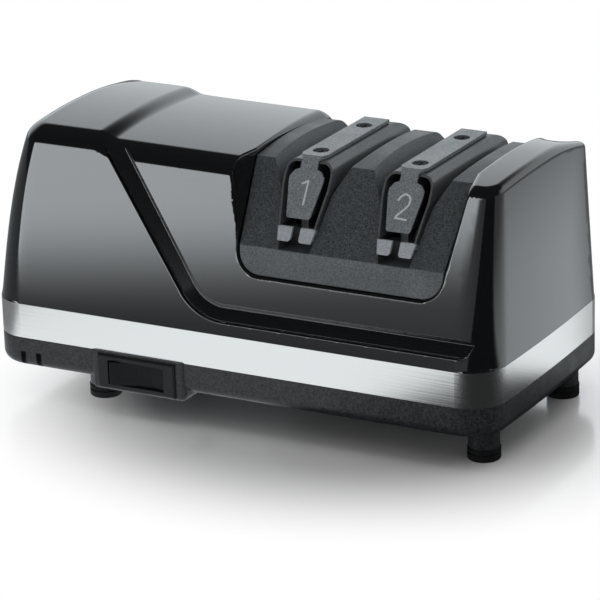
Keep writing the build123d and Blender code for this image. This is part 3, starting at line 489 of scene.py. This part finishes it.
def skin_distance(points):
    """Distance in millimetres of points from the skin of the upper housing, positive outside."""
    x, y, z = points.T
    rise = z - HOUSING_FOOT
    share = rise / HOUSING_RISE
    half = HALF_DEPTH - rise * LEAN
    bow = 1.5 * np.clip(y / half, -1.0, 1.0) ** 2
    past_left = rise * 0.085 + rise**3 * 1.9e-5 - HALF_LENGTH + bow - x
    past_right = x - (HALF_LENGTH - rise * 0.026 - bow)
    beyond_end = np.where(x < 0, past_left, past_right)
    radius = 15.0 - np.where(x < 0, 6.0, 8.5) * share
    beyond_side = np.abs(y) - half
    side = round_join(beyond_end, beyond_side, radius) * ACROSS_LEAN
    tower = x > TOWER_X
    top = z - crest_height(x) + crown_drop(y) + np.where(tower, np.maximum(y, 0.0) ** 2 / 750.0, 0.0)
    brow = 10.0 + 4.0 * smooth_step(x, -75.0, -45.0) + np.where(tower, 8.0, 0.0)
    to_rear = smooth_step(y, 6.0, 40.0) * (1.0 - smooth_step(beyond_end, -14.0, 1.0))
    rim = np.where(tower, TOWER_RIM_RADIUS, RIM_RADIUS) + brow * to_rear
    body = round_join(side, top, rim)
    front = (front_face(z) + channel_cut(x, z) - y) * ACROSS_LEAN
    body = np.maximum(body, np.where(y < 0, front, FAR_INSIDE))
    deck_lip = 3.4 * smooth_step(y, -25.0, 35.0) * smooth_step(z, 98.0, 104.0)
    lip = LIP_RADIUS + np.where(tower, 1.6 * smooth_step(z, 105.0, 110.0), 0.0)
    lip = lip + np.where(x < DECK_END_X, deck_lip, 0.0)
    return round_join(body, opening_depth(x, y, z), lip)


def skin_slope(points):
    """Unit outward direction of the skin near points, and how fast the distance grows along it."""
    parts = []
    for axis in range(3):
        shift = np.zeros(3)
        shift[axis] = SLOPE_STEP
        growth = skin_distance(points + shift) - skin_distance(points - shift)
        parts.append(growth / (2 * SLOPE_STEP))
    slope = np.stack(parts, axis=1)
    length = np.maximum(np.linalg.norm(slope, axis=1), 1e-6)
    return slope / length[:, None], length


def edge_goal(points):
    """Longest edge wanted near points: short in the channel and round the rims, long on plain faces."""
    x, y, z = points.T
    goal = np.full(len(points), 5.0)
    above_low, below_high = channel_edges(x, z)
    in_channel = (above_low > -1.5) & (below_high > -1.5) & (y < 0)
    from_opening = np.abs(opening_depth(x, y, z))
    depth = skin_distance(points)
    goal = np.where(crest_height(x) - crown_drop(y) - z < 9.0, 1.6, goal)
    goal = np.where(from_opening < 1.2, 0.9, goal)
    goal = np.where(in_channel & (front_face(z) + 3.0 > y), 0.6, goal)
    goal = np.where((from_opening < 1.0) & (y < -36.0) & (z > 80.0), 0.5, goal)
    off_skin = (depth < -1.6) | (depth > REACH_ABOVE) | (z < HOUSING_FOOT + 0.1)
    return np.where(off_skin, NO_GOAL, goal)


def refine(mesh_builder, passes=9):
    """Splits edges until each is short enough for the skin it lies on."""
    for _ in range(passes):
        edges = [edge for edge in mesh_builder.edges if edge.calc_length() > 0.5 * MM]
        ends = np.array([[*e.verts[0].co, *e.verts[1].co] for e in edges]) * PER_METRE
        middle = (ends[:, :3] + ends[:, 3:]) / 2
        length = np.linalg.norm(ends[:, :3] - ends[:, 3:], axis=1)
        goal = edge_goal(middle)
        for end in (ends[:, :3], ends[:, 3:]):
            goal = np.minimum(goal, np.maximum(edge_goal(end), length * 0.3))
        long = [edge for edge, too_long in zip(edges, length > goal) if too_long]
        if not long:
            break
        bmesh.ops.subdivide_edges(mesh_builder, edges=long, cuts=1)
        bmesh.ops.triangulate(mesh_builder, faces=[f for f in mesh_builder.faces if len(f.verts) > 3])


def draw_to_skin(points, goal):
    """Moves points along the skin's slope until their distance is the goal."""
    for _ in range(STEPS_TO_SKIN):
        direction, speed = skin_slope(points)
        step = (skin_distance(points) - goal) / speed
        points = points - direction * np.clip(step, -LONGEST_STEP, LONGEST_STEP)[:, None]
    return points


def read_values(collection, attribute, width=1, kind=float):
    """One attribute of every item of a mesh collection, as an array."""
    values = np.empty(len(collection) * width, dtype=kind)
    collection.foreach_get(attribute, values)
    return values.reshape(-1, width) if width > 1 else values


def corner_normals(mesh):
    """The normal of its triangle for every corner of a mesh."""
    return np.repeat(read_values(mesh.polygons, "normal", 3), 3, axis=0)


def sort_points(mesh, points, corner_vertex):
    """Masks of the points that belong on the skin, and of the inner wall's that lie too near it."""
    slope = skin_slope(points)[0]
    facing = (read_values(mesh.vertices, "normal", 3) * slope).sum(axis=1)
    best_face = np.full(len(points), -1.0)
    np.maximum.at(best_face, corner_vertex, (corner_normals(mesh) * slope[corner_vertex]).sum(axis=1))
    rear = points[:, 1] > REAR_Y
    depth = skin_distance(points)
    above_foot = points[:, 2] > HOUSING_FOOT + 0.05
    into_opening = opening_depth(*points.T)
    flare = (into_opening > -2.6) & (points[:, 1] < FLARE_Y)
    level = (depth > -0.35) & (facing > -0.3)
    sunk = (depth > -1.4) & (facing > 0.5)
    outer = level | sunk | (flare & (facing > -0.2))
    outer = np.where(rear, (best_face > 0.3) & (depth > -1.4), outer)
    near = (depth < 1.35) | ((depth < REACH_ABOVE) & (into_opening < 1.3))
    inner = above_foot & ~outer & near & ((facing < -0.3) | rear) & (depth > -INNER_GAP)
    return above_foot & outer & near, inner


def smooth_shell(node, name):
    """A dense copy of a CAD node whose outer skin is drawn onto the smooth shell."""
    builder = bmesh.new()
    builder.from_mesh(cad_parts[node].data)
    bmesh.ops.remove_doubles(builder, verts=builder.verts, dist=0.01 * MM)
    refine(builder)
    mesh = bpy.data.meshes.new(name)
    builder.to_mesh(mesh)
    builder.free()
    points = read_values(mesh.vertices, "co", 3) * PER_METRE
    corner_vertex = read_values(mesh.loops, "vertex_index", kind=int)
    on_skin, inner = sort_points(mesh, points, corner_vertex)
    moved = draw_to_skin(points[on_skin], 0.0)
    carried = np.zeros(len(points), dtype=bool)
    carried[on_skin] = np.linalg.norm(moved - points[on_skin], axis=1) > 0.6
    points[on_skin] = moved
    points[inner] = draw_to_skin(points[inner], -INNER_GAP)
    points[:, 2] = np.minimum(points[:, 2], HIGHEST)
    mesh.vertices.foreach_set("co", (points / PER_METRE).ravel())
    mesh.update()
    normals = np.zeros(points.shape)
    normals[on_skin] = skin_slope(moved)[0]
    face_normals, skin_normals = corner_normals(mesh), normals[corner_vertex]
    likeness = (face_normals * skin_normals).sum(axis=1)
    agrees = on_skin[corner_vertex] & (likeness > np.where(carried[corner_vertex], -0.2, 0.2))
    mesh.normals_split_custom_set(np.where(agrees[:, None], skin_normals, face_normals).tolist())
    item = bpy.data.objects.new(name, mesh)
    bpy.context.scene.collection.objects.link(item)
    return item


# ------------------------------------------------------------------ operators
class SHARPENER_OT_housing(bpy.types.Operator):
    """Finish the upper housing"""

    bl_idname = "sharpener.housing"
    bl_label = "Upper housing"

    def execute(self, context):
        settings = context.scene.sharpener_housing
        shell = smooth_shell("upper_housing", "housing_shell")
        shell.data.materials.append(gloss_material("housing_gloss", settings.colour, settings.roughness))
        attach(shell, CASE)
        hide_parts("upper_housing")
        return {"FINISHED"}


class SHARPENER_OT_base(bpy.types.Operator):
    """Finish the band, base pan, feet, switch, gland and clean-out cover"""

    bl_idname = "sharpener.base"
    bl_label = "Band and base"

    def execute(self, context):
        band = brushed_material("band_brushed", (0.84, 0.83, 0.815), 0.2, (6.0, 1400.0, 1400.0))
        wear("steel_band", band)
        satin = grained_material("base_satin", (0.018, 0.02, 0.022), 0.4, 1500.0, 0.00006, 0.7, 0.4, 0.0006)
        for node in ("base_pan", "clean_out_cover", "foot_posts"):
            wear(node, satin)
        rubber = grained_material("foot_rubber", (0.006, 0.006, 0.0065), 0.75, 1500.0, 0.00004, 0.4, 0.25)
        for node in ("rubber_feet", "cord_gland"):
            wear(node, rubber)
        bezel_colour, rocker_colour = (0.009, 0.01, 0.011), (0.003, 0.0034, 0.0038)
        wear("switch_body", grained_material(
            "bezel_satin", bezel_colour, 0.42, 2200.0, 0.00002, 0.4, 0.25, 0.0003
        ))
        wear("rocker", grained_material(
            "rocker_gloss", rocker_colour, 0.3, 1200.0, 0.00001, 0.4, 0.16, 0.0004
        ))
        wear("switch_terminals", new_material("terminal_brass", (0.7, 0.5, 0.2), 0.35, 1.0)[0])
        wear("swarf_magnet", grained_material("magnet_ferrite", (0.07, 0.07, 0.075), 0.6, 2000.0, 0.00004))
        return {"FINISHED"}


class SHARPENER_OT_guides(bpy.types.Operator):
    """Finish the guide insert, springs, bars and blade stops"""

    bl_idname = "sharpener.guides"
    bl_label = "Guides"

    def execute(self, context):
        settings = context.scene.sharpener_guides
        insert = grained_material(
            "insert_texture", settings.insert_colour, 0.36, 1500.0, 0.00006, 0.5, 0.62, 0.0006
        )
        wear("guide_insert", insert)
        spring = grained_material(
            "spring_satin", (0.06, 0.065, 0.07), 0.32, 1500.0, 0.00002, 0.35, 1.0, 0.0003
        )
        bar = grained_material(
            "bar_satin", settings.bar_colour, 0.36, 1900.0, 0.00004, 0.45, 0.9, 0.0004
        )
        for number in (1, 2):
            wear(f"guide_spring_{number}", spring)
            wear(f"guide_bar_{number}", bar)
            self.number_plate(number, settings.numeral_height)
        wear("guide_bar_screws", grained_material(
            "screw_black", (0.01, 0.01, 0.011), 0.4, 1500.0, 0.00002, 0.4, 0.3
        ))
        wear("blade_stops", grained_material("stop_satin", (0.27, 0.29, 0.31), 0.5, 1500.0, 0.00002))
        return {"FINISHED"}

    def number_plate(self, number, height):
        """The stage number, printed slightly proud of its plate."""
        stage_x, strokes = NUMERALS[number]
        grow = height / NUMERAL_HEIGHT
        line = [(x * grow, NUMERAL_MIDDLE + (up - NUMERAL_MIDDLE) * grow) for x, up in strokes]
        outline, faces = stroke_mesh(line, STROKE_HALF)
        points = []
        for x, up, proud in outline:
            z = PLATE_FOOT + up * math.cos(RIB_ANGLE)
            y = rib_face(z) - PLATE_FORWARD
            z += proud * math.sin(RIB_ANGLE)
            y -= proud * math.cos(RIB_ANGLE)
            points.append(((stage_x + x) * MM, y * MM, z * MM))
        numeral = mesh_object(f"numeral_{number}", points, faces)
        numeral.data.materials.append(paint_material("numeral_print", (0.4, 0.415, 0.425), 0.5))
        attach(numeral, CASE)


class SHARPENER_OT_drive(bpy.types.Operator):
    """Finish the motor, shaft, fan and discs inside"""

    bl_idname = "sharpener.drive"
    bl_label = "Drive line"

    def execute(self, context):
        steel = brushed_material("ground_steel", (0.6, 0.6, 0.61), 0.3, (900.0, 900.0, 30.0))
        lamination = brushed_material("lamination_steel", (0.35, 0.35, 0.36), 0.4, (3000.0, 20.0, 20.0))
        copper = brushed_material("winding_copper", (0.55, 0.2, 0.07), 0.3, (30.0, 30.0, 2500.0))
        alloy = grained_material("bracket_alloy", (0.55, 0.55, 0.56), 0.45, 800.0, 0.00003)
        bronze = new_material("bearing_bronze", (0.55, 0.4, 0.2), 0.45, 1.0)[0]
        nylon = grained_material("bobbin_nylon", (0.7, 0.68, 0.62), 0.45, 900.0, 0.00001)
        black = grained_material("fan_nylon", (0.05, 0.05, 0.052), 0.4, 900.0, 0.00001)
        carrier = grained_material("disc_carrier", (0.2, 0.2, 0.21), 0.45, 900.0, 0.00001)
        abrasive = grained_material("disc_abrasive", (0.3, 0.3, 0.31), 0.7, 4000.0, 0.00015, 0.5)
        finishes = {
            steel: ("drive_shaft", "drive_pins", "motor_bolts", "base_screws"),
            lamination: ("stator_stack", "rotor_core"),
            copper: ("coil_winding",),
            alloy: ("bearing_bracket_left", "bearing_bracket_right"),
            bronze: ("sleeve_bearings", "end_bearing"),
            nylon: ("coil_bobbin",),
            black: ("cooling_fan",),
            carrier: tuple(f"grinding_disc_{number}" for number in range(1, 5)),
            abrasive: tuple(f"abrasive_ring_{number}" for number in range(1, 5)),
        }
        for material, nodes in finishes.items():
            for node in nodes:
                wear(node, material)
        return {"FINISHED"}


class SHARPENER_OT_stage(bpy.types.Operator):
    """Lay the floor, set the lamps and place the camera"""

    bl_idname = "sharpener.stage"
    bl_label = "Stage"

    def execute(self, context):
        settings = context.scene.sharpener_stage
        self.lay_floor(settings)
        self.hang_card()
        self.light_world()
        self.set_lamps()
        self.place_camera(context, settings)
        context.scene.view_settings.view_transform = "Standard"
        return {"FINISHED"}

    def lay_floor(self, settings):
        """A wide pale floor. Mirrors see it as a glowing pattern with painted shade round its right front
        corner; it is also darker far off, behind and left of the object.
        """
        floor = mesh_object("floor", *grid_mesh(6.0))
        material, tree, shader = new_material("floor_pale", settings.floor_colour, 0.5)
        nodes = tree.nodes
        place, across, ahead, _ = place_sockets(tree, "Object")
        # Painted shade for mirrors: a dark sector round the right front corner, then darker far off, behind
        # and at the left.
        aside, beyond = maths(tree, "ADD", across, 0.079), maths(tree, "SUBTRACT", ahead, 0.155)
        angle = maths(tree, "ARCTAN2", beyond, aside)
        from_left = ramp_value(tree, angle, -1.19, -1.1)
        from_right = ramp_value(tree, angle, -0.38, -0.47)
        dark = maths(tree, "MULTIPLY", from_left, from_right)
        round_end = maths(tree, "ARCTAN2", ahead, maths(tree, "SUBTRACT", across, 0.1))
        away = vector_maths(tree, "LENGTH", place).outputs["Value"]
        far = ramp_value(tree, away, 0.26, 0.6, 0.0, 0.7)
        rear = ramp_value(tree, round_end, 1.15, 1.32, 0.0, 0.8)
        left = ramp_value(tree, across, -0.153, -0.178, 0.0, 0.8)
        for shade in (far, rear, left):
            dark = maths(tree, "MAXIMUM", dark, shade)
        # The floor glows for glossy rays, its painted shade taking the place of real light and shadow.
        mirrored = nodes.new("ShaderNodeEmission")
        mirrored.inputs["Color"].default_value = COOL_WHITE
        glow = ramp_value(tree, dark, 0.0, 1.0, 0.95, 0.02, smooth=False)
        tree.links.new(glow, mirrored.inputs["Strength"])
        polish = nodes.new("ShaderNodeBsdfGlossy")
        polish.inputs["Roughness"].default_value = 0.16
        plain = shader.outputs["BSDF"]
        polished = mix_shaders(tree, settings.floor_polish, plain, polish.outputs["BSDF"])
        white = nodes.new("ShaderNodeEmission").outputs["Emission"]
        squeezed = vector_maths(tree, "MULTIPLY_ADD", place, (0.9, 1.0, 0.0), (-0.022, 0.0, 0.0))
        spread = vector_maths(tree, "LENGTH", squeezed.outputs["Vector"]).outputs["Value"]
        faded = mix_shaders(tree, ramp_value(tree, spread, 0.07, 0.15), polished, white)
        path = nodes.new("ShaderNodeLightPath")
        seen = mix_shaders(tree, path.outputs["Is Camera Ray"], plain, faded)
        # Glossy rays see only the glowing floor with its painted shade.
        shown = mix_shaders(tree, path.outputs["Is Glossy Ray"], seen, mirrored.outputs["Emission"])
        tree.links.new(shown, nodes["Material Output"].inputs["Surface"])
        floor.data.materials.append(material)

    def hang_card(self):
        """A tall soft card at the front left that only mirrors see: dark at its foot, bright above."""
        away = Vector((-0.479, -0.878, 0.0))
        along = Vector((0.878, -0.479, 0.0))
        corners = [away + along * side + Vector((0.0, 0.0, z)) for side, z in (
            (-0.42, 0.0), (0.8, 0.0), (0.8, 0.24), (-0.42, 0.24)
        )]
        card = mesh_object("card_front", corners, [(0, 1, 2, 3)])
        material, tree, _ = new_material("card_glow", (0.0, 0.0, 0.0), 1.0)
        place, _, _, up = place_sockets(tree, "Object")
        slanted = vector_maths(tree, "DOT_PRODUCT", place, (-0.123, 0.067, 1.0)).outputs["Value"]
        height = ramp_value(tree, slanted, 0.005, 0.073, 0.35, 3.9)
        under_edge = ramp_value(tree, up, 0.23, 0.14, 0.02, 1.0)
        glow = tree.nodes.new("ShaderNodeEmission")
        glow.inputs["Color"].default_value = COOL_WHITE
        tree.links.new(maths(tree, "MULTIPLY", height, under_edge), glow.inputs["Strength"])
        tree.links.new(glow.outputs["Emission"], tree.nodes["Material Output"].inputs["Surface"])
        card.data.materials.append(material)
        card.visible_camera = False
        card.visible_diffuse = False
        card.visible_shadow = False
        card.visible_transmission = False

    def light_world(self):
        """Soft even light. Mirrors see it dark overhead and pale behind, and the camera sees it white."""
        world = bpy.data.worlds.new("studio")
        bpy.context.scene.world = world
        world.use_nodes = True
        tree = world.node_tree
        nodes = tree.nodes
        even = nodes["Background"]
        even.inputs["Color"].default_value = WHITE
        even.inputs["Strength"].default_value = 0.6
        white = nodes.new("ShaderNodeBackground")
        white.inputs["Color"].default_value = WHITE
        white.inputs["Strength"].default_value = 1.0
        mirrored = nodes.new("ShaderNodeBackground")
        mirrored.inputs["Color"].default_value = COOL_WHITE
        _, _, ahead, up = place_sockets(tree, "Generated")
        above = ramp_value(tree, up, 0.74, 0.4)
        behind = ramp_value(tree, ahead, -0.1, 0.5)
        panel = maths(tree, "MULTIPLY", above, behind)
        glow = ramp_value(tree, panel, 0.0, 1.0, 0.03, 0.88)
        tree.links.new(glow, mirrored.inputs["Strength"])
        even, white, mirrored = (node.outputs["Background"] for node in (even, white, mirrored))
        path = nodes.new("ShaderNodeLightPath")
        lit = mix_shaders(tree, path.outputs["Is Glossy Ray"], even, mirrored)
        shown = mix_shaders(tree, path.outputs["Is Camera Ray"], lit, white)
        tree.links.new(shown, nodes["World Output"].inputs["Surface"])

    def set_lamps(self):
        """A large soft box overhead, one behind and one at the left. No mirror sees them."""
        places = (
            ("overhead", (0.0, 0.15, 1.3), (1.6, 1.2), 8.0),
            ("behind", (-0.7, 1.3, 0.55), (1.6, 0.5), 6.0),
            ("left", (-1.4, -0.5, 0.9), (0.9, 0.9), 3.0),
        )
        for name, place, size, power in places:
            data = bpy.data.lights.new(name, "AREA")
            data.shape = "RECTANGLE"
            data.size, data.size_y = size
            data.energy = power
            lamp = bpy.data.objects.new(name, data)
            lamp.location = place
            lamp.visible_glossy = False
            aim = Vector((0.0, 0.0, 0.05)) - Vector(place)
            lamp.rotation_euler = aim.to_track_quat("-Z", "Y").to_euler()
            bpy.context.scene.collection.objects.link(lamp)

    def place_camera(self, context, settings):
        """The camera, above and to the right of the front."""
        azimuth, elevation, roll = (math.radians(a) for a in VIEW_ANGLES)
        back = Vector((
            math.sin(azimuth) * math.cos(elevation),
            -math.cos(azimuth) * math.cos(elevation),
            math.sin(elevation),
        ))
        right = Vector((math.cos(azimuth), math.sin(azimuth), 0.0))
        up = back.cross(right)
        turned_right = right * math.cos(roll) + up * math.sin(roll)
        turned_up = up * math.cos(roll) - right * math.sin(roll)
        offset = turned_right * (VIEW_SHIFT[0] * MM) + turned_up * (VIEW_SHIFT[1] * MM)
        place = Vector(VIEW_TARGET) + back * (VIEW_DISTANCE * MM) + offset
        data = bpy.data.cameras.new("camera")
        data.lens = settings.lens
        data.sensor_width = 36.0
        data.clip_end = 50.0
        camera = bpy.data.objects.new("camera", data)
        matrix = Matrix((turned_right, turned_up, back)).transposed().to_4x4()
        matrix.translation = place
        camera.matrix_world = matrix
        bpy.context.scene.collection.objects.link(camera)
        context.scene.camera = camera


class SHARPENER_PT_panel(bpy.types.Panel):
    """Lists the sharpener's pieces"""

    bl_label = "Sharpener"
    bl_idname = "SHARPENER_PT_panel"
    bl_space_type = "VIEW_3D"
    bl_region_type = "UI"
    bl_category = "Sharpener"

    def draw(self, context):
        layout = self.layout
        for settings in (
            context.scene.sharpener_housing,
            context.scene.sharpener_guides,
            context.scene.sharpener_stage,
        ):
            box = layout.box()
            for name in settings.__annotations__:
                box.prop(settings, name)
        for operator in OPERATORS:
            layout.operator(operator.bl_idname)


OPERATORS = (
    SHARPENER_OT_stage,
    SHARPENER_OT_housing,
    SHARPENER_OT_base,
    SHARPENER_OT_guides,
    SHARPENER_OT_drive,
)
SETTINGS = {
    "sharpener_housing": HousingSettings,
    "sharpener_guides": GuideSettings,
    "sharpener_stage": StageSettings,
}


def register():
    """Adds the settings, operators and panel."""
    for name, settings in SETTINGS.items():
        bpy.utils.register_class(settings)
        setattr(bpy.types.Scene, name, bpy.props.PointerProperty(type=settings))
    for cls in (*OPERATORS, SHARPENER_PT_panel):
        bpy.utils.register_class(cls)


def unregister():
    """Takes the panel, operators and settings away again."""
    for cls in (SHARPENER_PT_panel, *reversed(OPERATORS)):
        bpy.utils.unregister_class(cls)
    for name, settings in reversed(SETTINGS.items()):
        delattr(bpy.types.Scene, name)
        bpy.utils.unregister_class(settings)


def main():
    """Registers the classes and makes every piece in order."""
    register()
    for operator in OPERATORS:
        group, name = operator.bl_idname.split(".")
        getattr(getattr(bpy.ops, group), name)()


if __name__ == "__main__":
    main()
